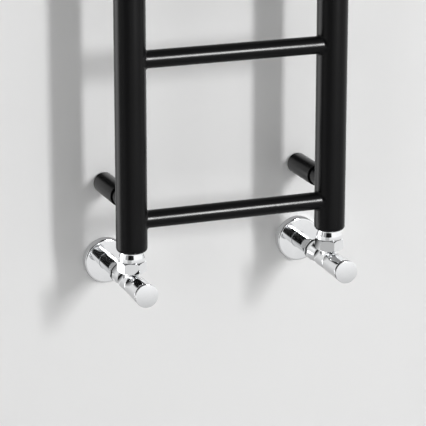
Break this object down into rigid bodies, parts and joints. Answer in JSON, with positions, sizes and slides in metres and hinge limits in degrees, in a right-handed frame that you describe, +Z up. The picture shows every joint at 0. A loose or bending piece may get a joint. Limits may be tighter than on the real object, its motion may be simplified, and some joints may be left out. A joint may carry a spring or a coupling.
{
  "type": "radiator with valve",
  "caption": "Ladder towel radiator with round columns and cross tubes, wall stand-off brackets and a pair of chrome corner valves with round caps and wall rosettes.",
  "frame": {"origin": "on the wall plane, at the centre of the four bracket screws", "axes": "+X to the right along the wall, +Y into the wall (the radiator stands at negative Y), +Z up"},
  "size_m": [0.29, 0.146, 0.87],
  "materials": {
    "black_powder_coat": "satin black polyester powder coat on steel",
    "chrome": "polished chromium plate on brass",
    "brass": "turned brass",
    "rubber": "moulded black EPDM",
    "disc_rubber": "moulded valve disc",
    "zinc_steel": "zinc-plated screw",
    "black_oxide_steel": "black oxide set screws"
  },
  "bodies": {
    "radiator": {"left_column": "black_powder_coat", "right_column": "black_powder_coat", "rung_1": "black_powder_coat", "rung_2": "black_powder_coat", "rung_3": "black_powder_coat", "rung_4": "black_powder_coat", "rung_5": "black_powder_coat", "left_lower_end_cap": "black_powder_coat", "left_upper_end_cap": "black_powder_coat", "right_lower_end_cap": "black_powder_coat", "right_upper_end_cap": "black_powder_coat", "left_lower_wall_base": "black_powder_coat", "left_lower_bracket_sleeve": "black_powder_coat", "left_lower_bracket_pin": "black_powder_coat", "left_upper_wall_base": "black_powder_coat", "left_upper_bracket_sleeve": "black_powder_coat", "left_upper_bracket_pin": "black_powder_coat", "right_lower_wall_base": "black_powder_coat", "right_lower_bracket_sleeve": "black_powder_coat", "right_lower_bracket_pin": "black_powder_coat", "right_upper_wall_base": "black_powder_coat", "right_upper_bracket_sleeve": "black_powder_coat", "right_upper_bracket_pin": "black_powder_coat", "bracket_grub_screws": "black_oxide_steel", "air_vent_body": "chrome", "air_vent_washer": "rubber", "blanking_plug": "chrome", "blanking_washer": "rubber", "left_rosette": "chrome", "left_pipe_sleeve": "chrome", "left_compression_nut": "chrome", "left_olive": "brass", "left_valve_body": "chrome", "left_union_nut": "chrome", "left_tailpiece": "chrome", "left_union_washer": "rubber", "left_bonnet": "brass", "left_spindle_seal": "rubber", "right_rosette": "chrome", "right_pipe_sleeve": "chrome", "right_compression_nut": "chrome", "right_olive": "brass", "right_valve_body": "chrome", "right_union_nut": "chrome", "right_tailpiece": "chrome", "right_union_washer": "rubber", "right_bonnet": "brass", "right_spindle_seal": "rubber"},
    "right_disc": {"right_valve_disc": "disc_rubber"},
    "right_handle": {"right_spindle": "brass", "right_handle": "chrome", "right_handle_screw": "zinc_steel", "right_front_cap": "chrome"},
    "left_disc": {"left_valve_disc": "disc_rubber"},
    "left_spindle": {"left_spindle": "brass"},
    "left_cap": {"left_lockshield_cap": "chrome", "left_front_cap": "chrome"},
    "vent_screw": {"air_vent_screw": "brass"}
  },
  "joints": [
    {"name": "right_disc_lift", "type": "slide", "parent": "radiator", "child": "right_disc", "axis": [0, -1, 0], "range_m": [0, 0.00375]},
    {"name": "right_handle_turn", "type": "hinge", "parent": "right_disc", "child": "right_handle", "pos_m": [0.119, -0.12, -0.433], "axis": [0, -1, 0], "range_deg": [0, 900]},
    {"name": "left_disc_lift", "type": "slide", "parent": "radiator", "child": "left_disc", "axis": [0, -1, 0], "range_m": [0, 0.00375]},
    {"name": "left_spindle_turn", "type": "hinge", "parent": "left_disc", "child": "left_spindle", "pos_m": [-0.119, -0.12, -0.433], "axis": [0, -1, 0], "range_deg": [0, 900]},
    {"name": "left_cap_pull", "type": "slide", "parent": "radiator", "child": "left_cap", "axis": [0, -1, 0], "range_m": [0, 0.045]},
    {"name": "vent_screw_turn", "type": "hinge", "parent": "radiator", "child": "vent_screw", "pos_m": [-0.119, -0.096, 0.396], "axis": [0, 0, 1], "range_deg": [0, 360]}
  ],
  "couplings": [
    {"joint": "right_handle_turn", "follows": "right_disc_lift", "rad_per_m": 4188.8},
    {"joint": "left_spindle_turn", "follows": "left_disc_lift", "rad_per_m": 4188.8}
  ]
}
